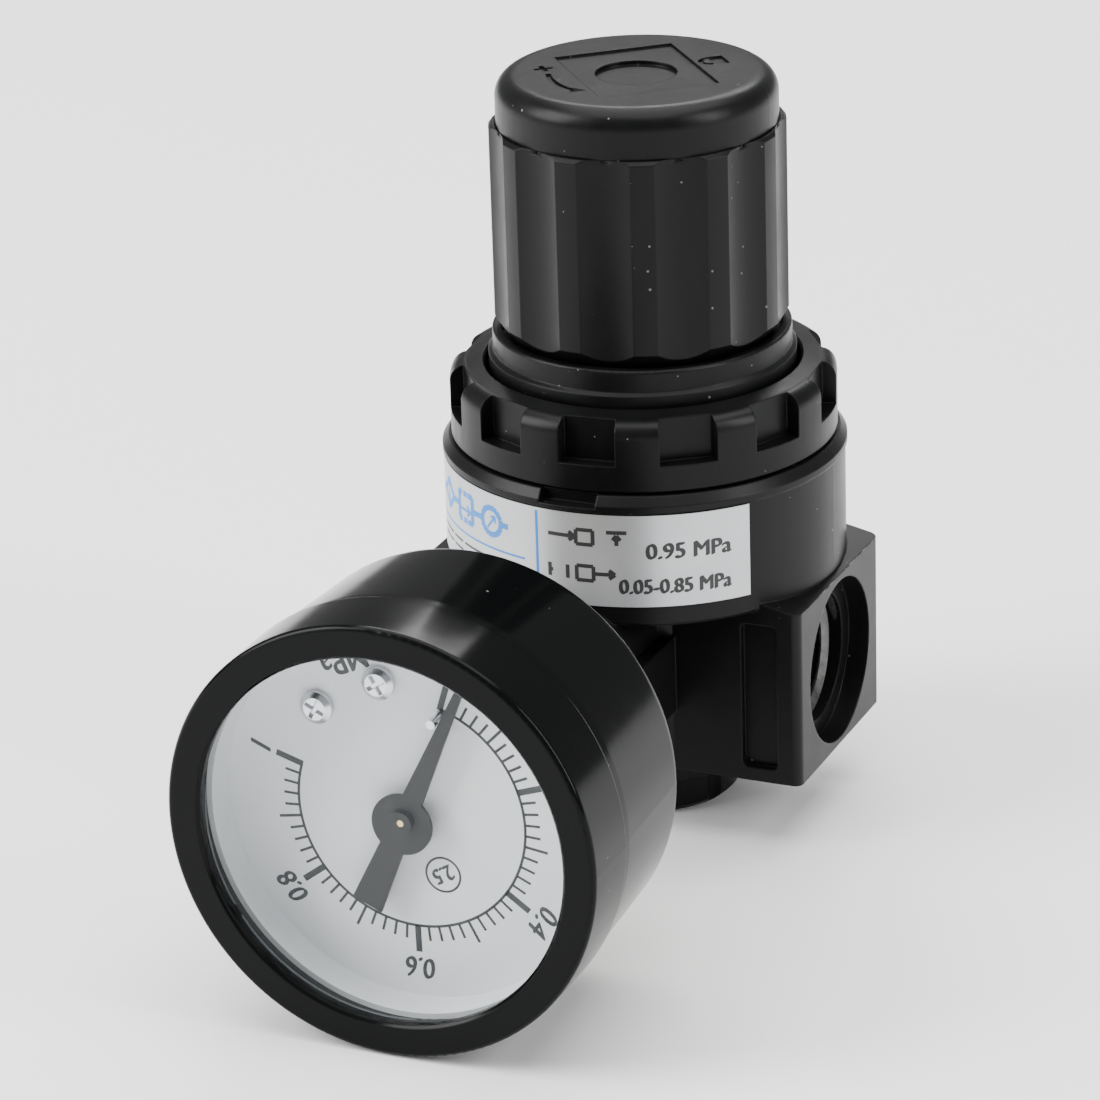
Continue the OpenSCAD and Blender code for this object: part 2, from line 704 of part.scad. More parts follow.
module valve_seal() {
    color(rubber) translate([0, 0, seal_bottom + 0.01]) ring(head_r - 0.1, pin_r + seat_gap, seal_t - 0.01);
}

module valve_spring() {
    wire = 0.35;
    turns = 3.5;
    color(steel) coil_spring(stem_r + 1.5, wire, plug_top, head_bottom, turns);
}

module bottom_plug() {
    edge = 0.6;
    spigot_r = valve_r - seat_gap;
    guide_wall = 0.85;
    grips = 8;
    grip_r = 1.1;
    color(black) difference() {
        union() {
            translate([0, 0, edge]) cylinder(r = plug_r, h = plug_head - edge);
            cylinder(r1 = plug_r - edge, r2 = plug_r, h = edge);
            translate([0, 0, plug_head - cut]) cylinder(r = spigot_r, h = plug_top - plug_head + cut);
            translate([0, 0, plug_top - cut])
                cylinder(r = stem_r + guide_wall, h = guide_top - plug_top + cut);
        }
        translate([0, 0, boss_bottom + 0.2]) cylinder(r = stem_r + slip, h = guide_top);
        translate([0, 0, seal_groove_z]) ring(plug_r, valve_r - seal_groove, seal_groove_h);
        for (i = [0:grips - 1]) rotate([0, 0, (i + 0.5) * 360 / grips])
            translate([plug_r + grip_r / 2, 0, -cut]) cylinder(r = grip_r, h = plug_head + 2 * cut);
    }
}

module plug_o_ring() {
    section_r = (seal_groove - 2 * slip) / 2 + 0.02;
    color(rubber) rotate_extrude()
        translate([valve_r - section_r - 0.04, seal_groove_z + seal_groove_h / 2])
            circle(section_r, $fn = 32);
}

module rear_plug() {
    depth = 7;
    hex_depth = 3.5;
    color(steel) rotate([0, 0, 180]) at_gauge(shell_r - depth - 0.4) difference() {
        cylinder(r = gauge_port_r - seat_gap, h = depth);
        translate([0, 0, depth - hex_depth])
            cylinder(r = rear_hex_af / sqrt(3), h = hex_depth + cut, $fn = 6);
    }
}

module rear_plug_seal() {
    seal_h = 0.7;
    color([0.9, 0.9, 0.9]) rotate([0, 0, 180]) at_gauge(shell_r - gauge_port_depth + play)
        ring(gauge_port_r - 0.3, rear_hex_af / 2, seal_h);
}

// ---- Gauge ----

module stem_seal() {
    color([0.9, 0.9, 0.9]) at_gauge(boss_reach)
        ring(gauge_port_r + 1.5, gauge_port_r - seat_gap + 0.02, stem_seal_t);
}

module gauge_stem() {
    thread_r = gauge_port_r - seat_gap;
    thread_start = boss_reach - gauge_port_depth + 1.4;
    lead = 0.8;
    flat_z = boss_reach + stem_seal_t;
    flats = 12;
    bevel = 0.66;                            // radius that trims the square's corners, as a share
    flat_end = case_back - 2.6;
    way_r = 1.2;
    tube_way_r = 0.9;
    color(brass) at_gauge() difference() {
        union() {
            translate([0, 0, thread_start]) cylinder(r1 = thread_r - lead, r2 = thread_r, h = lead);
            translate([0, 0, thread_start + lead])
                cylinder(r = thread_r, h = flat_z - thread_start - lead + cut);
            intersection() {
                translate([-flats / 2, -flats / 2, flat_z]) cube([flats, flats, flat_end - flat_z]);
                translate([0, 0, flat_z]) cylinder(r = flats * bevel, h = stem_len);
            }
            translate([0, 0, flat_end - cut]) cylinder(r = stem_neck, h = block_front - flat_end - 0.6);
            translate([-socket_w / 2, -tube_mid - 1.8, case_inside])
                cube([socket_w, tube_mid + 6, block_front - case_inside]);
        }
        cylinder(r = way_r, h = block_front - 1.5);
        translate([0, 0, case_inside + 3]) rotate([90, 0, 0]) cylinder(r = tube_way_r, h = tube_mid);
    }
}

module gauge_case() {
    round_r = 2;
    lip_z = bezel_back - play;
    lip_h = 1.2;
    lip_at = gauge_r - 0.35;
    vent_r = 1.5;
    vent_at = 9.5;
    vent_turn = 30;
    color(black) at_gauge() difference() {
        rotate_extrude() {
            polygon([[0, case_back], [back_r - round_r, case_back], [back_r, case_back + round_r],
                     [lip_at, lip_z - lip_h], [lip_at, lip_z], [case_r, lip_z], [case_r, case_front],
                     [0, case_front]]);
            translate([back_r - round_r, case_back + round_r]) circle(round_r);
        }
        rotate_extrude() {
            polygon([[0, case_inside], [case_bore - round_r, case_inside],
                     [case_bore, case_inside + round_r], [case_bore, case_front + cut],
                     [0, case_front + cut]]);
            translate([case_bore - round_r, case_inside + round_r]) circle(round_r);
        }
        translate([0, 0, case_back - cut]) cylinder(r = stem_neck + seat_gap, h = case_wall + 2 * cut);
        // vent in the case's back
        rotate([0, 0, vent_turn]) translate([vent_at, 0, case_back - cut])
            cylinder(r = vent_r, h = case_wall + 2 * cut);
    }
}

module gauge_bezel() {
    edge = 0.5;
    bevel = 0.3;
    inner = case_r + 0.06;
    back = window_front + 0.02;
    color(black) at_gauge() rotate_extrude() {
        polygon([[inner, bezel_back], [gauge_r - bevel, bezel_back], [gauge_r, bezel_back + bevel],
                 [gauge_r, gauge_front - edge], [gauge_r - edge, gauge_front],
                 [face_r + bevel, gauge_front], [face_r, gauge_front - bevel],
                 [face_r, back], [inner, back]]);
        translate([gauge_r - edge, gauge_front - edge]) circle(edge);
    }
}

module gauge_window() {
    step = 0.3;                              // how far the window's rim lies behind its middle
    color([0.85, 0.9, 0.95, 0.4]) at_gauge(window_back) difference() {
        cylinder(r = case_r - 0.1, h = window_t);
        translate([0, 0, window_t - step]) ring(case_r + 1, face_r - 0.15, step + cut);
    }
}

module window_gasket() {
    color(rubber) at_gauge(case_front + 0.01) ring(case_r - 0.2, case_bore - 0.6, gasket_t - 0.02);
}

module dial_spacer() {
    color([0.9, 0.9, 0.9]) at_gauge(dial_face + 0.01)
        ring(case_bore - 0.05, case_bore - 1.15, case_front - dial_face - 0.02);
}

module dial() {
    hole_r = 1.4;
    color([0.86, 0.87, 0.88]) at_gauge(dial_back) difference() {
        cylinder(r = case_bore - 0.1, h = dial_t);
        translate([0, 0, -cut]) cylinder(r = hole_r, h = dial_t + 2 * cut);
        for (side = [-1, 1]) rotate([0, 0, gap_angle + side * screw_spread])
            translate([screw_ring, 0, -cut]) cylinder(r = dial_screw_r + 0.1, h = dial_t + 2 * cut);
        rotate([0, 0, stop_angle()]) translate([stop_at, 0, -cut])
            cylinder(r = stop_r + seat_gap, h = dial_t + 2 * cut);
    }
}

// Angle of the stop pin, which stands against the pointer's side at rest
function stop_angle() = pointer_angle + asin((pointer_half(stop_at) + stop_r + 0.06) / stop_at);

// Half width of the pointer at a distance from its axis
function pointer_half(r) = 1.15 - 0.75 * r / pointer_tip;

module stop_pin() {
    foot_z = front_plate + move_t;
    collar = 0.9;
    color(steel) at_gauge(foot_z) rotate([0, 0, stop_angle()]) translate([stop_at, 0, 0]) {
        cylinder(r = stop_r, h = pointer_z + collar - foot_z);
        cylinder(r = collar, h = dial_back - foot_z - 0.02);
    }
}

module dial_screws() {
    head_r = 1.6;
    head_t = 0.9;
    bevel = 0.36;
    shank = 3;
    slot = 0.4;
    slot_l = 2;
    color(steel) at_gauge() for (side = [-1, 1]) rotate([0, 0, gap_angle + side * screw_spread])
        translate([screw_ring, 0, dial_face + 0.01]) difference() {
            union() {
                cylinder(r = head_r, h = head_t - bevel);
                translate([0, 0, head_t - bevel]) cylinder(r1 = head_r, r2 = head_r - 0.5, h = bevel);
                translate([0, 0, -shank]) cylinder(r = dial_screw_r, h = shank + cut);
            }
            for (a = [20, 110]) rotate([0, 0, a]) translate([-slot_l / 2, -slot / 2, head_t - slot])
                cube([slot_l, slot, slot + cut]);
        }
}

module dial_posts() {
    post_h = dial_back - case_inside - 0.03;
    hole_depth = 4;
    color(brass) at_gauge(case_inside + 0.01) for (side = [-1, 1])
        rotate([0, 0, gap_angle + side * screw_spread]) translate([screw_ring, 0, 0]) difference() {
            cylinder(r = post_r, h = post_h);
            translate([0, 0, post_h - hole_depth])
                cylinder(r = dial_screw_r + seat_gap, h = hole_depth + cut);
        }
}

module pointer() {
    disc_r = 3;
    disc_back = 0.5;                         // how far the disc lies towards the tail
    waist_at = 3;
    waist = 1.2;
    boss_r = 1.1;
    color([0.05, 0.04, 0.04]) at_gauge(pointer_z) rotate([0, 0, pointer_angle]) difference() {
        union() {
            linear_extrude(pointer_t)
                polygon([[0, -pointer_half(0)], [pointer_tip, -pointer_half(pointer_tip)],
                         [pointer_tip, pointer_half(pointer_tip)], [0, pointer_half(0)],
                         [-waist_at, waist], [-pointer_tail, tail_half], [-pointer_tail, -tail_half],
                         [-waist_at, -waist]]);
            translate([-disc_back, 0, 0]) cylinder(r = disc_r, h = pointer_t);
            cylinder(r = boss_r, h = pointer_hub);
        }
        translate([0, 0, -cut]) cylinder(r = shaft_tip_r, h = pointer_hub + 2 * cut);
    }
}

// Angle of each tooth's sides at its root, pitch line and tip, as shares of the tooth pitch
module gear_outline(teeth, count, first, pitch) {
    step = 360 / teeth;
    root = pitch - 1.25 * gear_module;
    tip = pitch + 0.9 * gear_module;
    polygon(concat([for (i = [0:count - 1], k = [0:3])
        let (a = first + i * step + [-0.24, -0.1, 0.1, 0.24][k] * step, r = [root, tip, tip, root][k])
        polar(r, a)], count < teeth ? [[0, 0]] : []));
}

module pinion_shaft() {
    foot = back_plate + 0.02;
    shoulder = pointer_z - play;
    color(brass) at_gauge() {
        translate([0, 0, foot]) cylinder(r = shaft_r, h = shoulder - foot);
        translate([0, 0, foot]) cylinder(r = shaft_tip_r, h = pointer_z + pointer_hub - play - foot);
        translate([0, 0, gear_base - 0.5]) rotate([0, 0, arbor_angle]) linear_extrude(pinion_t)
            gear_outline(pinion_teeth, pinion_teeth, 0, pitch_pinion);
    }
}

// Places a shape at the sector's arbor
module at_arbor(z) {
    at_gauge(z) rotate([0, 0, arbor_angle]) translate([centre_gap, 0, 0]) rotate([0, 0, -arbor_angle])
        children();
}

module sector_gear() {
    toothed = 13;
    step = 360 / sector_teeth;
    first = arbor_angle - 180 - (toothed - 3.5) * step;
    hub_h = gear_t + 1.2;
    hub = 1.8;
    color(brass) at_arbor(gear_base) difference() {
        union() {
            linear_extrude(gear_t) gear_outline(sector_teeth, toothed, first, pitch_sector);
            cylinder(r = hub, h = hub_h);
            rotate([0, 0, tail_angle]) linear_extrude(gear_t) slot2d(0, tail_len, tail_w / 2);
        }
        translate([0, 0, -cut]) cylinder(r = arbor_r, h = hub_h + 2 * cut);
        rotate([0, 0, tail_angle]) translate([tail_len, 0, -cut])
            cylinder(r = link_pin_r, h = gear_t + 2 * cut);
    }
}

module sector_arbor() {
    color(steel) at_arbor(back_plate + 0.02) cylinder(r = arbor_r, h = plate_gap + 2 * move_t - 0.04);
}

module link() {
    link_len = 3.7;
    link_angle = 176;
    link_t = 0.5;
    lift = 0.1;                              // gap between the link and the sector's tail
    color(brass) at_arbor(gear_base + gear_t + lift) rotate([0, 0, tail_angle]) translate([tail_len, 0, 0])
        rotate([0, 0, link_angle - tail_angle]) {
            linear_extrude(link_t) slot2d(0, link_len, link_w / 2);
            translate([0, 0, -gear_t - lift]) cylinder(r = link_pin_r - slip, h = gear_t + 2 * lift);
        }
}

// Outline of the movement's plates, with the holes of the two shafts
module plate_outline() {
    end_r = 4.2;
    difference() {
        slot2d(-3.2, centre_gap + 2.9, end_r);
        circle(shaft_r + slip);
        translate([centre_gap, 0]) circle(arbor_r + slip);
    }
}

module movement_back_plate() {
    color(brass) at_gauge(back_plate + 0.01) rotate([0, 0, arbor_angle])
        linear_extrude(move_t) plate_outline();
}

module movement_front_plate() {
    arm_start = 4;
    color(brass) at_gauge(front_plate) {
        rotate([0, 0, arbor_angle]) linear_extrude(move_t) plate_outline();
        rotate([0, 0, stop_angle()]) linear_extrude(move_t) slot2d(arm_start, stop_at, 1);
    }
}

module movement_pillars() {
    pillar_r = 0.8;
    lie = 0.02;
    color(brass) at_gauge(back_plate + move_t + lie) rotate([0, 0, arbor_angle])
        for (p = [[-3.4, 2.9], [-3.4, -2.9], [centre_gap + 2.9, 0]])
            translate([p[0], p[1], 0]) cylinder(r = pillar_r, h = plate_gap - 2 * lie);
}

// A point on a flat spiral, a share of its turns from its inner end
function coil_point(r, growth, turns, share) = polar(r + growth * share, 360 * turns * share);

module hairspring() {
    turns = 3;
    steps = 54;
    inner = shaft_r + 0.35;
    growth = 1.9;
    thick = 0.16;
    strip = 0.4;
    color(steel) at_gauge(gear_base + pinion_t + 0.3) linear_extrude(strip)
        polygon(concat([for (i = [0:steps]) coil_point(inner, growth, turns, i / steps)],
                       [for (i = [steps:-1:0]) coil_point(inner + thick, growth, turns, i / steps)]));
}

module bourdon_tube() {
    wall = 0.35;
    corner = 0.7;
    color(brass) at_gauge(tube_back) rotate([0, 0, tube_start]) rotate_extrude(angle = tube_sweep)
        translate([tube_mid, tube_h / 2]) difference() {
            round_rect(tube_w, tube_h, corner);
            round_rect(tube_w - 2 * wall, tube_h - 2 * wall, corner - 0.3);
        }
}

module tube_tip() {
    block_l = 1.6;
    lug = 1.2;
    lug_z = tube_back + tube_h - 0.5;
    lug_top = gear_base + gear_t - 0.1;
    side = tube_mid - tube_w / 2;
    color(brass) at_gauge() rotate([0, 0, tube_start + tube_sweep + 0.1]) {
        translate([side - 0.2, 0, tube_back]) cube([tube_w + 0.4, block_l, tube_h]);
        translate([side - 0.6, 0.2, lug_z]) cube([lug, lug, lug_top - lug_z]);
    }
}

body();
label();
lock_ring();
bonnet();
bottom_plug();
plug_o_ring();
valve_spring();
valve_poppet();
valve_seal();
diaphragm();
spring_seat();
relief_seat();
adjusting_spring();
spring_nut();
adjusting_screw();
thrust_washer();
detent_ring();
knob();
knob_cap();
rear_plug();
rear_plug_seal();
stem_seal();
gauge_stem();
gauge_case();
gauge_bezel();
gauge_window();
window_gasket();
dial_spacer();
dial();
dial_screws();
dial_posts();
stop_pin();
pointer();
pinion_shaft();
sector_gear();
sector_arbor();
link();
movement_back_plate();
movement_front_plate();
movement_pillars();
hairspring();
bourdon_tube();
tube_tip();
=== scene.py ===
import json
import math

import bmesh
import bpy
from mathutils import Matrix, Vector


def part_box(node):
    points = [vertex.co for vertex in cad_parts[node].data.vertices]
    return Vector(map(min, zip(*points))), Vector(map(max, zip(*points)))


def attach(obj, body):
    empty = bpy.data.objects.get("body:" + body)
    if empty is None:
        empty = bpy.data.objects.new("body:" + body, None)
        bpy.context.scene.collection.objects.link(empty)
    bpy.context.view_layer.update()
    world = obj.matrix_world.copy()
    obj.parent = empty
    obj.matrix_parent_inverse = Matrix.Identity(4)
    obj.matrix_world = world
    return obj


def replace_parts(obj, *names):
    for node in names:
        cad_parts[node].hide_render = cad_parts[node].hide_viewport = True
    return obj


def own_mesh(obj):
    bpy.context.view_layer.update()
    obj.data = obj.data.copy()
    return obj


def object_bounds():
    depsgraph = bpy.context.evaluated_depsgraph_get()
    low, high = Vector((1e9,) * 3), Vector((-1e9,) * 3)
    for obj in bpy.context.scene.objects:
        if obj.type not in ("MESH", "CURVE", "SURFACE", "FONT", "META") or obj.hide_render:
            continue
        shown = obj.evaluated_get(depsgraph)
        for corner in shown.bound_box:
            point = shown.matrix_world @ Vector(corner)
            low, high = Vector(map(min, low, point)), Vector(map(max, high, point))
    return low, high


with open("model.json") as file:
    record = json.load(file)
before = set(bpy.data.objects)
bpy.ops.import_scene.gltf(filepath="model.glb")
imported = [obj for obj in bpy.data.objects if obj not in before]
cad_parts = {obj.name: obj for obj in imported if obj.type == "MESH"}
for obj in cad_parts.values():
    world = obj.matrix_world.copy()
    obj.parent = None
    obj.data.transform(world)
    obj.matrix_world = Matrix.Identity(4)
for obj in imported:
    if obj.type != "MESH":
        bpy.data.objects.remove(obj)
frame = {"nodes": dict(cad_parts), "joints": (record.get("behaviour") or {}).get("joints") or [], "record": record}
cadLow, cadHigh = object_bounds()
mm = 0.001  # lengths below are in millimetres and angles in degrees, unless a note says otherwise
print("frame loaded with", len(frame["nodes"]), "nodes")


# Shader helpers

class Wire:  # one shader socket that takes plain arithmetic
    def __init__(self, graph, socket):
        self.graph = graph
        self.socket = socket

    def calc(self, operation, first, second=0.0):
        made = self.graph.add("ShaderNodeMath", {"operation": operation}, {0: first, 1: second})
        return made["Value"]

    def __add__(self, other):
        return self.calc("ADD", self, other)

    def __radd__(self, other):
        return self.calc("ADD", other, self)

    def __sub__(self, other):
        return self.calc("SUBTRACT", self, other)

    def __rsub__(self, other):
        return self.calc("SUBTRACT", other, self)

    def __mul__(self, other):
        return self.calc("MULTIPLY", self, other)

    def __rmul__(self, other):
        return self.calc("MULTIPLY", other, self)

    def __truediv__(self, other):
        return self.calc("DIVIDE", self, other)

    def __rtruediv__(self, other):
        return self.calc("DIVIDE", other, self)

    def __gt__(self, other):
        return self.calc("GREATER_THAN", self, other)

    def __lt__(self, other):
        return self.calc("LESS_THAN", self, other)

    def __abs__(self):
        return self.calc("ABSOLUTE", self)

    def smallest(self, other):
        return self.calc("MINIMUM", self, other)

    def largest(self, other):
        return self.calc("MAXIMUM", self, other)

    def clamped(self):
        return self.largest(0.0).smallest(1.0)


class Outputs:  # the output sockets of a node, by name or by number
    def __init__(self, graph, node):
        self.graph = graph
        self.node = node

    def __getitem__(self, key):
        return Wire(self.graph, self.node.outputs[key])


class Graph:  # the nodes of one material
    def __init__(self, name):
        self.material = bpy.data.materials.new(name)
        self.material.use_nodes = True
        self.tree = self.material.node_tree
        self.tree.nodes.clear()

    def add(self, kind, settings=None, inputs=None):
        node = self.tree.nodes.new(kind)
        for key, value in (settings or {}).items():
            if key == "stops":
                self.setStops(node.color_ramp, value)
            else:
                setattr(node, key, value)
        for key, value in (inputs or {}).items():
            if isinstance(value, Wire):
                self.tree.links.new(value.socket, node.inputs[key])
            else:
                node.inputs[key].default_value = value
        return Outputs(self, node)

    def setStops(self, ramp, stops):
        while len(ramp.elements) < len(stops):
            ramp.elements.new(0.5)
        for element, (place, value) in zip(ramp.elements, stops):
            element.position = place
            element.color = (value, value, value, 1)

    def place(self):
        return self.add("ShaderNodeTexCoord")["Object"]

    def axes(self, vector):
        parts = self.add("ShaderNodeSeparateXYZ", inputs={"Vector": vector})
        return parts["X"], parts["Y"], parts["Z"]

    def stretch(self, vector, scale):
        return self.add("ShaderNodeVectorMath", {"operation": "MULTIPLY"}, {0: vector, 1: scale})["Vector"]

    def noise(self, vector, grain, detail=3.0, rough=0.55):  # grain is the size of a patch
        return self.add("ShaderNodeTexNoise", inputs={
            "Vector": vector, "Scale": 1 / (grain * mm), "Detail": detail, "Roughness": rough})["Fac"]

    def ramp(self, value, stops):
        return self.add("ShaderNodeValToRGB", {"stops": stops}, {"Fac": value})["Color"]

    def blend(self, share, first, second):  # colours
        return self.add("ShaderNodeMix", {"data_type": "RGBA"}, {0: share, 6: first, 7: second})[2]

    def specks(self, vector, spacing, size, share):  # scattered dust, in a share of the cells
        cells = self.add("ShaderNodeTexVoronoi", inputs={"Vector": vector, "Scale": 1 / (spacing * mm)})
        chance, width = self.axes(cells["Color"])[:2]
        reach = width * (size / spacing)
        return (cells["Distance"] < reach) * (chance > 1 - share)

    def bump(self, height, strength, depth, normal=None):  # depth in millimetres
        inputs = {"Height": height, "Strength": strength, "Distance": depth * mm}
        if normal:
            inputs["Normal"] = normal
        return self.add("ShaderNodeBump", inputs=inputs)["Normal"]

    def softEdge(self, radius):  # rounds the look of small arrises
        return self.add("ShaderNodeBevel", {"samples": 6}, {"Radius": radius * mm})["Normal"]

    def surface(self, **inputs):
        named = {key.replace("_", " "): value for key, value in inputs.items()}
        shader = self.add("ShaderNodeBsdfPrincipled", inputs=named)["BSDF"]
        self.close(shader)
        return self.material

    def close(self, shader):
        self.add("ShaderNodeOutputMaterial", inputs={"Surface": shader})


# Finishes

dustColour = (0.13, 0.125, 0.12, 1)
nylon = {
    "colour": (0.0022, 0.0023, 0.0025, 1), "faded": (0.0042, 0.0043, 0.0045, 1), "rough": 0.34,
    "cloudRough": 0.18, "smearRough": 0.16, "dustRough": 0.3, "shine": 0.13, "edge": 0.2,
    "clouds": 7.0, "grain": 0.16, "smear": 1.6, "dustSpacing": 1.3, "dustSize": 0.13, "dustShare": 0.5,
    "bumpStrength": 0.14, "bumpDepth": 0.03}


def makeNylon():  # moulded black nylon with a fine spark-eroded grain and a little dust
    n = nylon
    g = Graph("blackNylon")
    p = g.place()
    clouds = g.noise(p, n["clouds"])
    grain = g.noise(p, n["grain"], detail=2.0)
    dust = g.specks(p, n["dustSpacing"], n["dustSize"], n["dustShare"])
    smear = g.noise(g.stretch(p, (1, 1, 0.25)), n["smear"], detail=4.0)
    worn = n["rough"] + (clouds - 0.5) * n["cloudRough"] + (smear - 0.5) * n["smearRough"]
    rough = worn + dust * n["dustRough"]
    pale = g.blend(clouds, n["colour"], n["faded"])
    return g.surface(
        Base_Color=g.blend(dust, pale, dustColour), Roughness=rough, Specular_IOR_Level=n["shine"],
        Normal=g.bump(grain, n["bumpStrength"], n["bumpDepth"], g.softEdge(n["edge"])))


enamel = {
    "colour": (0.0024, 0.0025, 0.0026, 1), "faded": (0.0048, 0.0048, 0.005, 1), "bare": (0.46, 0.45, 0.43, 1),
    "rough": 0.36, "cloudRough": 0.14, "grainRough": 0.1, "shine": 0.15, "bareMetal": 0.8, "edge": 0.22,
    "clouds": 6.0, "peel": 0.55, "grain": 0.12, "dustSpacing": 1.7, "dustSize": 0.14, "dustShare": 0.4,
    "wearPatches": 1.3, "wearFrom": 0.42, "wearFull": 0.56, "wearWidth": 0.16,
    "blockSide": 11.4, "blockTop": 25.2, "blockFoot": 7.0, "seamWidth": 0.09, "seamHeight": 3.0,
    "peelHeight": 0.7, "grainHeight": 0.3, "wearHeight": 0.4, "bumpStrength": 0.2, "bumpDepth": 0.05}


def makeEnamel():  # satin enamel over a die casting, lightly rubbed at the block's corners
    e = enamel
    g = Graph("bodyEnamel")
    low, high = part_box("body")
    blockFace = max(abs(low.x), high.x)
    p = g.place()
    x, y, z = g.axes(p)
    width = e["wearWidth"] * mm
    nearFace = (1 - (blockFace - abs(x)) / width).clamped()
    nearSide = (1 - abs(e["blockSide"] * mm - abs(y)) / width).clamped()
    nearTop = (1 - abs(z - e["blockTop"] * mm) / width).clamped()
    nearFoot = (1 - abs(z - e["blockFoot"] * mm) / width).clamped()
    corner = nearFace * (nearSide + nearTop + nearFoot)
    patches = g.noise(p, e["wearPatches"], detail=5.0, rough=0.7)
    wear = g.axes(g.ramp(corner * patches, [(e["wearFrom"], 0.0), (e["wearFull"], 1.0)]))[0]
    clouds = g.noise(p, e["clouds"])
    peel = g.noise(p, e["peel"], detail=2.0)
    grain = g.noise(p, e["grain"], detail=2.0)
    dust = g.specks(p, e["dustSpacing"], e["dustSize"], e["dustShare"])
    seam = (abs(y) < e["seamWidth"] * mm) * (z > e["blockTop"] * mm)
    shade = g.blend(clouds, e["colour"], e["faded"])
    paint = g.blend(dust, shade, dustColour)
    rough = e["rough"] + (clouds - 0.5) * e["cloudRough"] + (grain - 0.5) * e["grainRough"]
    skin = peel * e["peelHeight"] + grain * e["grainHeight"]
    height = skin - wear * e["wearHeight"] + seam * e["seamHeight"]
    return g.surface(
        Base_Color=g.blend(wear, paint, e["bare"]), Metallic=wear * e["bareMetal"], Roughness=rough,
        Specular_IOR_Level=e["shine"],
        Normal=g.bump(height, e["bumpStrength"], e["bumpDepth"], g.softEdge(e["edge"])))


gaugeEnamel = {
    "colour": (0.002, 0.0022, 0.0023, 1), "rough": 0.12, "ringRough": 0.2, "hazeRough": 0.14,
    "dustRough": 0.3, "shine": 0.09, "edge": 0.25, "ringDepth": 0.12,
    "waves": 3.2, "grain": 0.25, "haze": 9.0, "hazeFrom": 0.4,
    "dustSpacing": 1.8, "dustSize": 0.13, "dustShare": 0.4, "waveHeight": 0.9, "grainHeight": 0.1,
    "bumpStrength": 0.1, "bumpDepth": 0.07}


def makeGaugeEnamel():  # stoved gloss enamel on pressed steel, its front ring slightly duller
    e = gaugeEnamel
    g = Graph("gaugeEnamel")
    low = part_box("gauge_bezel")[0]
    p = g.place()
    y = g.axes(p)[1]
    front = (1 - (y - low.y) / (e["ringDepth"] * mm)).clamped()
    waves = g.noise(p, e["waves"], detail=1.0)
    grain = g.noise(p, e["grain"], detail=2.0)
    haze = g.noise(p, e["haze"], detail=4.0)
    dust = g.specks(p, e["dustSpacing"], e["dustSize"], e["dustShare"])
    veil = (haze - e["hazeFrom"]).clamped() * e["hazeRough"]
    rough = e["rough"] + veil + front * e["ringRough"] + dust * e["dustRough"]
    paint = g.blend(dust, e["colour"], dustColour)
    height = waves * e["waveHeight"] + grain * e["grainHeight"]
    return g.surface(
        Base_Color=paint, Roughness=rough, Specular_IOR_Level=e["shine"],
        Normal=g.bump(height, e["bumpStrength"], e["bumpDepth"], g.softEdge(e["edge"])))


foil = {
    "dark": (0.42, 0.43, 0.445, 1), "light": (0.56, 0.57, 0.585, 1), "metal": 0.55, "rough": 0.34,
    "brushRough": 0.12, "brush": 1.3, "brushStretch": (1, 1, 9), "clouds": 8.0,
    "bumpStrength": 0.08, "bumpDepth": 0.02}


def makeFoil():  # printed silver foil
    f = foil
    g = Graph("labelFoil")
    p = g.place()
    brushed = g.noise(g.stretch(p, f["brushStretch"]), f["brush"], detail=5.0, rough=0.65)
    clouds = g.noise(p, f["clouds"])
    shade = g.blend(clouds, f["dark"], f["light"])
    return g.surface(
        Base_Color=shade, Metallic=f["metal"], Roughness=f["rough"] + (brushed - 0.5) * f["brushRough"],
        Normal=g.bump(brushed, f["bumpStrength"], f["bumpDepth"]))


steel = {
    "dark": (0.62, 0.63, 0.66, 1), "light": (0.78, 0.78, 0.79, 1), "rough": 0.22, "cloudRough": 0.2,
    "clouds": 1.2, "turned": 0.12, "edge": 0.06, "bumpStrength": 0.12, "bumpDepth": 0.02}


def makeSteel():  # bright zinc plate
    s = steel
    g = Graph("zincSteel")
    p = g.place()
    clouds = g.noise(p, s["clouds"], detail=4.0)
    turned = g.noise(p, s["turned"], detail=2.0)
    return g.surface(
        Base_Color=g.blend(clouds, s["dark"], s["light"]), Metallic=1.0,
        Roughness=s["rough"] + (clouds - 0.5) * s["cloudRough"],
        Normal=g.bump(turned, s["bumpStrength"], s["bumpDepth"], g.softEdge(s["edge"])))


brass = {
    "dark": (0.66, 0.47, 0.2, 1), "light": (0.8, 0.62, 0.32, 1), "rough": 0.28, "turnedRough": 0.16,
    "clouds": 2.0, "turned": 0.5, "turnedStretch": (1, 6, 1), "edge": 0.08,
    "bumpStrength": 0.12, "bumpDepth": 0.03}


def makeBrass():  # bare turned brass
    b = brass
    g = Graph("turnedBrass")
    p = g.place()
    clouds = g.noise(p, b["clouds"], detail=4.0)
    turned = g.noise(g.stretch(p, b["turnedStretch"]), b["turned"], detail=3.0)
    return g.surface(
        Base_Color=g.blend(clouds, b["dark"], b["light"]), Metallic=1.0,
        Roughness=b["rough"] + (turned - 0.5) * b["turnedRough"],
        Normal=g.bump(turned, b["bumpStrength"], b["bumpDepth"], g.softEdge(b["edge"])))


rubber = {
    "dark": (0.012, 0.012, 0.012, 1), "light": (0.035, 0.034, 0.033, 1), "rough": 0.62, "bloomRough": 0.2,
    "bloom": 2.5, "grain": 0.15, "bumpStrength": 0.3, "bumpDepth": 0.03}


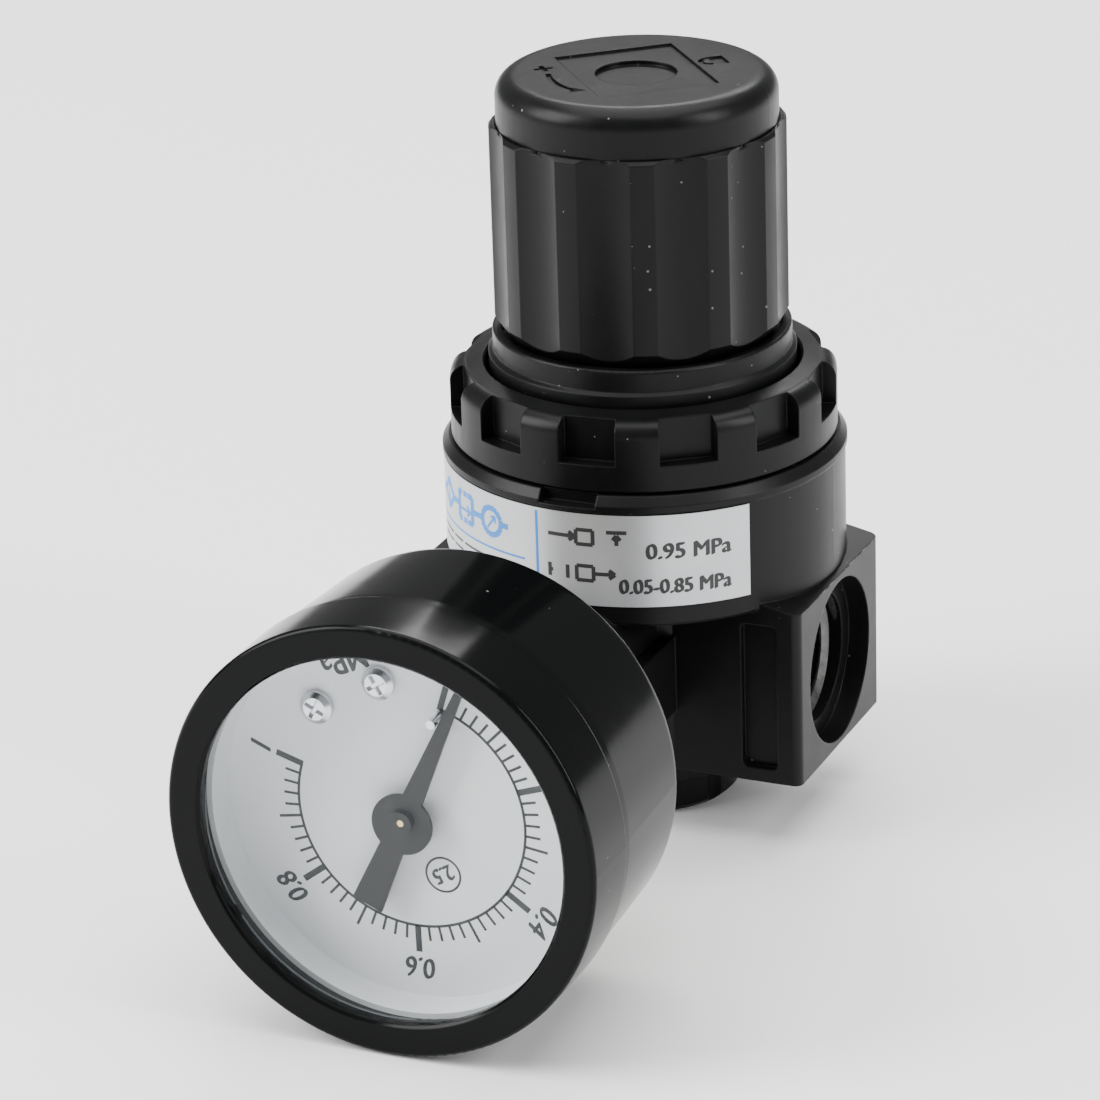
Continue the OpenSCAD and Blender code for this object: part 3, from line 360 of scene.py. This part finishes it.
def makeRubber():  # black rubber with a faint bloom
    r = rubber
    g = Graph("nitrileRubber")
    p = g.place()
    bloom = g.noise(p, r["bloom"], detail=4.0)
    grain = g.noise(p, r["grain"])
    return g.surface(
        Base_Color=g.blend(bloom, r["dark"], r["light"]),
        Roughness=r["rough"] + (bloom - 0.5) * r["bloomRough"],
        Normal=g.bump(grain, r["bumpStrength"], r["bumpDepth"]))


whiteSeal = {
    "dark": (0.72, 0.74, 0.75, 1), "light": (0.84, 0.85, 0.85, 1), "rough": 0.42, "cloudRough": 0.1,
    "clouds": 3.0, "grain": 0.2, "bumpStrength": 0.1, "bumpDepth": 0.02}


def makeWhiteSeal():
    w = whiteSeal
    g = Graph("whitePlastic")
    p = g.place()
    clouds = g.noise(p, w["clouds"])
    return g.surface(
        Base_Color=g.blend(clouds, w["dark"], w["light"]),
        Roughness=w["rough"] + (clouds - 0.5) * w["cloudRough"],
        Normal=g.bump(g.noise(p, w["grain"]), w["bumpStrength"], w["bumpDepth"]))


window = {
    "clear": (0.985, 0.992, 0.995, 1), "gloss": (0.7, 0.78, 0.82, 1), "bending": 1.49, "glossShare": 0.22,
    "rough": 0.03, "hazeRough": 0.03, "haze": 6.0}


def makeWindow():  # clear acrylic: see-through from the front, mirror-like at a slant
    w = window
    g = Graph("clearWindow")
    p = g.place()
    gloss = g.add("ShaderNodeFresnel", inputs={"IOR": w["bending"]})["Fac"]
    haze = g.noise(p, w["haze"], detail=5.0)
    clear = g.add("ShaderNodeBsdfTransparent", inputs={"Color": w["clear"]})["BSDF"]
    shine = g.add("ShaderNodeBsdfPrincipled", inputs={
        "Base Color": w["gloss"], "Roughness": w["rough"] + haze * w["hazeRough"], "Metallic": 1.0})["BSDF"]
    share = (gloss * w["glossShare"]).clamped()
    both = g.add("ShaderNodeMixShader", inputs={0: share, 1: clear, 2: shine})
    g.close(both["Shader"])
    return g.material


dialWhite = {
    "dark": (0.80, 0.805, 0.81, 1), "light": (0.85, 0.853, 0.855, 1), "rough": 0.55, "toothRough": 0.1,
    "tooth": 0.1, "clouds": 12.0, "bumpStrength": 0.06, "bumpDepth": 0.01}


def makeDialWhite():
    d = dialWhite
    g = Graph("dialWhite")
    p = g.place()
    tooth = g.noise(p, d["tooth"], detail=2.0)
    clouds = g.noise(p, d["clouds"])
    return g.surface(
        Base_Color=g.blend(clouds, d["dark"], d["light"]),
        Roughness=d["rough"] + (tooth - 0.5) * d["toothRough"],
        Normal=g.bump(tooth, d["bumpStrength"], d["bumpDepth"]))


inks = {
    "pointer": {"name": "pointerPaint", "colour": (0.009, 0.0068, 0.0066, 1), "rough": 0.6},
    "black": {"name": "printedBlack", "colour": (0.013, 0.013, 0.014, 1), "rough": 0.5},
    "blue": {"name": "printedBlue", "colour": (0.006, 0.165, 0.52, 1), "rough": 0.45},
    "clouds": 0.6, "cloudRough": 0.1, "thinScale": 1.35, "thinLift": 0.004}


def makeInk(which):
    ink = inks[which]
    g = Graph(ink["name"])
    p = g.place()
    clouds = g.noise(p, inks["clouds"], detail=3.0)
    scale, lift = inks["thinScale"], inks["thinLift"]
    thin = tuple(min(1.0, channel * scale + lift) for channel in ink["colour"][:3]) + (1,)
    return g.surface(
        Base_Color=g.blend(clouds, ink["colour"], thin),
        Roughness=ink["rough"] + (clouds - 0.5) * inks["cloudRough"])


tappedMetal = {
    "dark": (0.05, 0.05, 0.052, 1), "light": (0.16, 0.16, 0.155, 1), "metal": 0.75, "rough": 0.3,
    "cloudRough": 0.2, "clouds": 0.8, "bumpStrength": 0.15, "bumpDepth": 0.03}


def makeTapped():  # bare cut threads, darkened by oil
    m = tappedMetal
    g = Graph("tappedThread")
    p = g.place()
    clouds = g.noise(p, m["clouds"], detail=4.0)
    return g.surface(
        Base_Color=g.blend(clouds, m["dark"], m["light"]), Metallic=m["metal"],
        Roughness=m["rough"] + (clouds - 0.5) * m["cloudRough"],
        Normal=g.bump(clouds, m["bumpStrength"], m["bumpDepth"]))


paleFloor = {
    "dark": (0.87, 0.87, 0.87, 1), "light": (0.89, 0.89, 0.89, 1), "clouds": 60.0, "rough": 0.75,
    "shine": 0.2}


def makeFloor():
    f = paleFloor
    g = Graph("paleFloor")
    p = g.place()
    clouds = g.noise(p, f["clouds"])
    return g.surface(
        Base_Color=g.blend(clouds, f["dark"], f["light"]), Roughness=f["rough"],
        Specular_IOR_Level=f["shine"])


finishes = {
    "black_nylon": makeNylon(), "body_enamel": makeEnamel(), "gauge_enamel": makeGaugeEnamel(),
    "label_foil": makeFoil(), "zinc_steel": makeSteel(), "brass": makeBrass(), "rubber": makeRubber(),
    "white_seal": makeWhiteSeal(), "clear_window": makeWindow(), "dial_white": makeDialWhite(),
    "pointer_black": makeInk("pointer")}
tapped = makeTapped()
inkBlack = makeInk("black")
inkBlue = makeInk("blue")

for part in frame["record"]["subparts"]:
    mesh = frame["nodes"][part["node"]].data
    mesh.materials.clear()
    mesh.materials.append(finishes[part["material_slot"]])
print("finishes made:", len(finishes))


# Mesh helpers

class Pile:  # gathers closed pieces of geometry for one mesh
    def __init__(self):
        self.points = []
        self.faces = []

    def addMesh(self, points, faces):
        first = len(self.points)
        self.points.extend(points)
        self.faces.extend([tuple(first + i for i in face) for face in faces])

    def addStrip(self, sideA, sideB, low, high, place):  # a slab between two lines of points
        rings = [[place(*a, low), place(*b, low), place(*b, high), place(*a, high)]
                 for a, b in zip(sideA, sideB)]
        points = [point for ring in rings for point in ring]
        last = 4 * (len(rings) - 1)
        faces = [(4 * i + k, 4 * i + (k + 1) % 4, 4 * i + 4 + (k + 1) % 4, 4 * i + 4 + k)
                 for i in range(len(rings) - 1) for k in range(4)]
        self.addMesh(points, faces + [(3, 2, 1, 0), (last, last + 1, last + 2, last + 3)])

    def addBar(self, start, end, width, low, high, place, steps=1):  # a straight bar of an even width
        start, end = Vector(start), Vector(end)
        side = (end - start).orthogonal().normalized() * width / 2
        middle = [start.lerp(end, i / steps) for i in range(steps + 1)]
        self.addStrip([m + side for m in middle], [m - side for m in middle], low, high, place)

    def make(self, name, finish, body):
        mesh = bpy.data.meshes.new(name)
        mesh.from_pydata([tuple(p) for p in self.points], [], self.faces)
        mesh.materials.append(finish)
        mesh.validate()
        piece = bpy.data.objects.new(name, mesh)
        bpy.context.scene.collection.objects.link(piece)
        fixNormals(piece)
        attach(piece, body)


def fixNormals(piece):
    shape = bmesh.new()
    shape.from_mesh(piece.data)
    bmesh.ops.recalc_face_normals(shape, faces=shape.faces)
    shape.to_mesh(piece.data)
    shape.free()


def letters(words, height, slant=0.0, width=None):  # flat letters, centred, as points and faces
    curve = bpy.data.curves.new("letters", "FONT")
    curve.body = words
    curve.size = 1.0
    curve.shear = slant
    curve.extrude = 0.5
    curve.resolution_u = 3
    holder = bpy.data.objects.new("letters", curve)
    mesh = bpy.data.meshes.new_from_object(holder)
    points = [v.co.copy() for v in mesh.vertices]
    faces = [tuple(f.vertices) for f in mesh.polygons]
    bpy.data.objects.remove(holder)
    bpy.data.curves.remove(curve)
    bpy.data.meshes.remove(mesh)
    low = Vector([min(p[k] for p in points) for k in range(3)])
    high = Vector([max(p[k] for p in points) for k in range(3)])
    middle = (low + high) / 2
    tall = height / (high.y - low.y)
    wide = width / (high.x - low.x) if width else tall
    return [((p.x - middle.x) * wide, (p.y - middle.y) * tall, p.z > 0) for p in points], faces


def polar(radius, angle):
    return Vector((radius * math.cos(math.radians(angle)), radius * math.sin(math.radians(angle))))


# Dial print

dialPrint = {
    "zero": 73, "sweep": 270, "full": 1.0, "smallSteps": 50, "arc": 11.4, "arcWidth": 0.27,
    "smallTick": (11.4, 12.9, 0.26), "middleTick": (11.4, 13.7, 0.28), "bigTick": (11.3, 14.1, 0.62),
    "numeralAt": 15.75, "numeralHeight": 2.1, "unitAt": 15.6, "unitHeight": 2.4, "gap": 113.5,
    "squeeze": 0.84,
    "classAt": (6.5, -62.5), "classHeight": 1.5, "classRing": (1.6, 1.82), "slant": 0.12, "bold": 0.09,
    "foot": 0.001, "thick": 0.012, "layer": 0.002, "arcSides": 180, "ringSides": 40}


def makeDialPrint():
    d = dialPrint
    low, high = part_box("dial")
    axisHeight = (low.z + high.z) / 2

    def place(u, v, h):
        return Vector((u * mm, low.y - h * mm, axisHeight + v * mm))

    def write(words, height, at, up, slant):
        points, faces = letters(words, height, slant)
        right = Vector((up.y, -up.x)) * d["squeeze"]
        for layer, shift in enumerate((0, -d["bold"], d["bold"])):  # shifted copies thicken the strokes
            tall = d["thick"] + d["layer"] * layer
            spots = [(at + right * (x + shift) + up * (y + shift / 2), tall if top else d["foot"])
                     for x, y, top in points]
            pile.addMesh([place(spot.x, spot.y, h) for spot, h in spots], faces)

    pile = Pile()
    for i in range(d["smallSteps"] + 1):
        angle = d["zero"] - d["sweep"] * i / d["smallSteps"]
        tick = "bigTick" if i % 10 == 0 else "middleTick" if i % 5 == 0 else "smallTick"
        start, end, width = d[tick]
        pile.addBar(polar(start, angle), polar(end, angle), width, d["foot"], d["thick"], place)
    angles = [d["zero"] - d["sweep"] * i / d["arcSides"] for i in range(d["arcSides"] + 1)]
    half = d["arcWidth"] / 2
    pile.addStrip([polar(d["arc"] + half, a) for a in angles], [polar(d["arc"] - half, a) for a in angles],
                  d["foot"], d["thick"], place)
    for i in range(6):
        value = d["full"] * i / 5
        angle = d["zero"] - d["sweep"] * i / 5
        words = f"{value:.1f}" if 0 < i < 5 else f"{value:.0f}"
        write(words, d["numeralHeight"], polar(d["numeralAt"], angle), polar(1, angle), d["slant"])
    write("MPa", d["unitHeight"], polar(d["unitAt"], d["gap"]), -polar(1, d["gap"]), 0.0)
    classUp = polar(1, d["classAt"][1])
    write("2.5", d["classHeight"], polar(*d["classAt"]), classUp, 0.0)
    around = [360 * i / d["ringSides"] for i in range(d["ringSides"] + 1)]
    centre = polar(*d["classAt"])
    inside, outside = d["classRing"]
    pile.addStrip([centre + polar(outside, a) for a in around], [centre + polar(inside, a) for a in around],
                  d["foot"], d["thick"], place)
    pile.make("dial_print", inkBlack, "regulator")


makeDialPrint()


# Label print

labelPrint = {
    "lineAt": -99.4, "blueFoot": 31.2, "thick": 0.01, "signAt": -129.5, "signHeight": 34.0, "stroke": 0.6,
    "signFrom": -96.3, "boxAt": 4.0, "markStroke": 0.4, "bold": 0.1, "foot": 0.002, "layer": 0.002,
    "signSpacing": 4.6, "thinStroke": 0.25, "flowStroke": 0.3, "lineMargin": 0.3, "lineWidth": 0.3,
    "underlineFrom": -158, "underlineGap": 1.5, "underlineWidth": 0.22, "smallBarWidth": 0.24,
    "rows": [
        {"words": "0.95 MPa", "from": -67.6, "to": -43.6, "foot": 32.4, "head": 34.0, "mark": 34.5},
        {"words": "0.05-0.85 MPa", "from": -75.2, "to": -43.7, "foot": 28.8, "head": 30.3, "mark": 30.75}],
    "smallBars": [(-7.0, 3.4), (-3.1, 2.2), (-0.4, 4.1), (4.2, 2.9)], "smallBarHeights": (30.1, 29.2)}


def makeLabelPrint():
    d = labelPrint
    low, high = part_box("label")
    radius = abs(low.y) / mm
    bottom, top = low.z / mm, high.z / mm

    def place(u, v, h):  # u runs round the label in millimetres from the side facing -Y
        angle = u / radius - math.pi / 2
        return Vector((math.cos(angle), math.sin(angle), 0)) * (radius + h) * mm + Vector((0, 0, v * mm))

    def around(angle):
        return math.radians(angle + 90) * radius

    def bar(pile, start, end, width, steps=8):
        pile.addBar(start, end, width, d["foot"], d["thick"], place, steps)

    def outline(pile, points, width):  # a closed line
        for a, b in zip(points, points[1:] + points[:1]):
            bar(pile, a, b, width, 2)

    def arrow(pile, start, end, width, size):
        bar(pile, start, end, width, 4)
        back = (Vector(start) - Vector(end)).normalized() * size
        for side in (0.75, -0.75):
            bar(pile, end, Vector(end) + back + back.orthogonal() * side, width, 1)

    # circuit signs for a filter, a regulator and a gauge, joined by a line
    blue = Pile()
    middle, level, stroke = around(d["signAt"]), d["signHeight"], d["stroke"]
    thin, filterAt, gaugeAt = d["thinStroke"], middle - d["signSpacing"], middle + d["signSpacing"]
    diamond = ((-1.6, 0), (0, 1.5), (1.6, 0), (0, -1.5))
    square = ((-1.4, -1.4), (1.4, -1.4), (1.4, 1.4), (-1.4, 1.4))
    outline(blue, [(filterAt + a, level + b) for a, b in diamond], stroke)
    bar(blue, (filterAt, level - 1.0), (filterAt, level + 1.0), thin, 1)
    outline(blue, [(middle + a, level + b) for a, b in square], stroke)
    arrow(blue, (middle - 1.2, level - 0.3), (middle + 1.0, level - 0.3), d["flowStroke"], 0.7)
    outline(blue, [Vector((gaugeAt, level)) + polar(1.4, 18 * i) for i in range(20)], stroke)
    arrow(blue, (middle + 4.0, level - 0.8), (middle + 5.2, level + 0.6), thin, 0.55)
    for start, end in ((-7.2, -6.2), (-3.0, -1.4), (1.4, 3.2), (6.0, 7.0)):
        bar(blue, (middle + start, level), (middle + end, level), stroke)
    lineX, margin = around(d["lineAt"]), d["lineMargin"]
    bar(blue, (lineX, bottom + margin), (lineX, top - margin), d["lineWidth"])
    underline = ((around(d["underlineFrom"]), d["blueFoot"]), (lineX - d["underlineGap"], d["blueFoot"]))
    bar(blue, *underline, d["underlineWidth"], 24)
    blue.make("label_print_blue", inkBlue, "regulator")

    black = Pile()
    width = d["markStroke"]
    for row in d["rows"]:
        long = around(row["to"]) - around(row["from"])
        points, faces = letters(row["words"], row["head"] - row["foot"], 0.0, long)
        across = (around(row["to"]) + around(row["from"])) / 2
        upward = (row["head"] + row["foot"]) / 2
        for layer, shift in enumerate((0, -d["bold"], d["bold"])):
            tall = d["thick"] + d["layer"] * layer
            black.addMesh([place(x + across + shift, upward + y + shift / 2, tall if up else d["foot"])
                           for x, y, up in points], faces)
        start, mark = around(d["signFrom"]), row["mark"]
        box = ((-0.85, -0.75), (0.85, -0.75), (0.85, 0.75), (-0.85, 0.75))
        outline(black, [(start + d["boxAt"] + a, mark + b) for a, b in box], width)
        if "-" in row["words"]:  # outlet range: two limits, the box, then an arrow out
            for end in (0.3, 2.2):
                bar(black, (start + end, mark - 0.7), (start + end, mark + 0.7), width, 1)
            bar(black, (start + 0.3, mark), (start + 2.2, mark), width, 1)
            arrow(black, (start + 4.9, mark), (start + 7.0, mark), width, 0.6)
        else:  # highest inlet: an arrow into the box, then one up to a limit
            arrow(black, (start + 0.2, mark), (start + 3.0, mark), width, 0.6)
            arrow(black, (start + 7.2, mark - 0.7), (start + 7.2, mark + 0.35), width, 0.5)
            bar(black, (start + 6.2, mark + 0.65), (start + 8.2, mark + 0.65), width, 2)
    for height in d["smallBarHeights"]:
        for start, length in d["smallBars"]:
            bar(black, (middle + start, height), (middle + start + length, height), d["smallBarWidth"], 4)
    black.make("label_print_black", inkBlack, "regulator")


makeLabelPrint()
print("printing done")


# Threads in the two ports

portThread = {
    "pitch": 1.337, "depth": 0.82, "sides": 60, "crest": 0.16, "root": 1.24, "lead": 0.9, "runOut": 0.5,
    "bite": 0.03, "inset": 0.35, "start": 0.7, "leastDepth": 0.02}


def makePortThreads():
    t = portThread
    for mount in frame["record"]["mounts"]:
        if mount["kind"] != "threaded_hole":
            continue
        outward = mount["axis"][0]
        radius = mount["dims"]["r_mm"] + t["bite"]
        length = mount["dims"]["length_mm"]
        mouth = Vector(mount["pos_m"]) + Vector((outward * t["inset"] * mm, 0, 0))
        turns = (length - t["root"]) / t["pitch"]
        steps = int(turns * t["sides"])
        root, crest, least = t["root"] / 2, t["crest"] / 2, t["leastDepth"]
        points = []
        for i in range(steps + 1):
            angle = 2 * math.pi * i / t["sides"]
            along = t["start"] + t["pitch"] * i / t["sides"]
            fadeIn = i / (t["lead"] * t["sides"])
            fadeOut = (steps - i) / (t["runOut"] * t["sides"]) + least
            inner = radius - t["depth"] * max(min(1.0, fadeIn, fadeOut), least)
            for shift, r in ((-root, radius), (-crest, inner), (crest, inner), (root, radius)):
                points.append(mouth + Vector((
                    -outward * (along + shift) * mm,
                    r * mm * math.cos(angle) * outward,
                    r * mm * math.sin(angle))))
        faces = [(4 * i + k, 4 * i + (k + 1) % 4, 4 * i + 4 + (k + 1) % 4, 4 * i + 4 + k)
                 for i in range(steps) for k in range(4)]
        pile = Pile()
        pile.addMesh(points, faces + [(3, 2, 1, 0), (4 * steps, 4 * steps + 1, 4 * steps + 2, 4 * steps + 3)])
        pile.make(mount["name"] + "_thread", tapped, "regulator")


makePortThreads()
print("threads cut")


# Springs, as copies with meshes of their own that stand in for the hidden spring parts

springs = {"adjusting_spring": "zinc_steel", "valve_spring": "zinc_steel"}  # node and its finish


def makeSprings():
    for joint in frame["joints"]:
        for part in joint.get("deforming_nodes", []):
            name = part["node"]
            if name not in springs:
                continue
            foot = part["fixed_end_z_m"]
            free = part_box(name)[1].z - foot
            travel = max(abs(end) for end in joint["range_m"])
            piece = bpy.data.objects.new(name + "_working", frame["nodes"][name].data.copy())
            bpy.context.scene.collection.objects.link(piece)
            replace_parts((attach(piece, "regulator"), springs[name])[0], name)
            joint["name"]
            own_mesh(piece)


makeSprings()
print("springs made")


# Room, light and camera

room = {  # in metres and watts
    "floorSize": 8.0, "floorGap": 0.00005, "ambient": 0.36,
    "lamps": [
        {"name": "ceiling", "at": (0.0, 0.1, 1.5), "size": (1.7, 1.7), "power": 44.0},
        {"name": "leftBox", "at": (-0.62, -0.42, 0.5), "size": (0.5, 0.62), "power": 13.0},
        {"name": "rightBox", "at": (0.75, -0.05, 0.42), "size": (0.20, 0.60), "power": 6.0},
        {"name": "backBox", "at": (-0.25, 0.9, 0.75), "size": (0.6, 0.25), "power": 5.0}]}
camera = {  # angles in radians, clipping in metres
    "at": (183.356, -437.034, 219.185), "yaw": 0.41798, "pitch": 0.38803, "roll": -0.03208,
    "lens": 166.33, "sensor": 36.0, "clip": (0.01, 20)}


def makeRoom():
    half = room["floorSize"] / 2
    drop = min(0.0, cadLow.z) - room["floorGap"]
    mesh = bpy.data.meshes.new("floor")
    corners = [(x * half, y * half, drop) for x, y in ((-1, -1), (1, -1), (1, 1), (-1, 1))]
    mesh.from_pydata(corners, [], [(0, 1, 2, 3)])
    mesh.materials.append(makeFloor())
    floor = bpy.data.objects.new("floor", mesh)
    bpy.context.scene.collection.objects.link(floor)

    world = bpy.data.worlds.new("studio")
    bpy.context.scene.world = world
    world.use_nodes = True
    tree = world.node_tree
    tree.nodes["Background"].inputs["Color"].default_value = (1.0, 1.0, 1.0, 1)
    tree.nodes["Background"].inputs["Strength"].default_value = room["ambient"]

    middle = (cadLow + cadHigh) / 2
    for lamp in room["lamps"]:
        light = bpy.data.lights.new(lamp["name"], "AREA")
        light.shape = "RECTANGLE"
        light.size, light.size_y = lamp["size"]
        light.energy = lamp["power"]
        holder = bpy.data.objects.new(lamp["name"], light)
        holder.location = lamp["at"]
        holder.rotation_euler = (middle - holder.location).to_track_quat("-Z", "Y").to_euler()
        bpy.context.scene.collection.objects.link(holder)


def makeCamera():
    c = camera
    yaw, pitch = c["yaw"], c["pitch"]
    forward = Vector((-math.sin(yaw) * math.cos(pitch), math.cos(yaw) * math.cos(pitch), -math.sin(pitch)))
    level = Vector((math.cos(yaw), math.sin(yaw), 0))
    upright = level.cross(forward)
    right = math.cos(c["roll"]) * level + math.sin(c["roll"]) * upright
    up = -math.sin(c["roll"]) * level + math.cos(c["roll"]) * upright
    lens = bpy.data.cameras.new("camera")
    lens.lens = c["lens"]
    lens.sensor_width = c["sensor"]
    lens.clip_start, lens.clip_end = c["clip"]
    holder = bpy.data.objects.new("camera", lens)
    turn = Matrix((right, up, -forward)).transposed()
    holder.matrix_world = Matrix.Translation(Vector(c["at"]) * mm) @ turn.to_4x4()
    bpy.context.scene.collection.objects.link(holder)
    bpy.context.scene.camera = holder


makeRoom()
makeCamera()
print("room, lights and camera set")
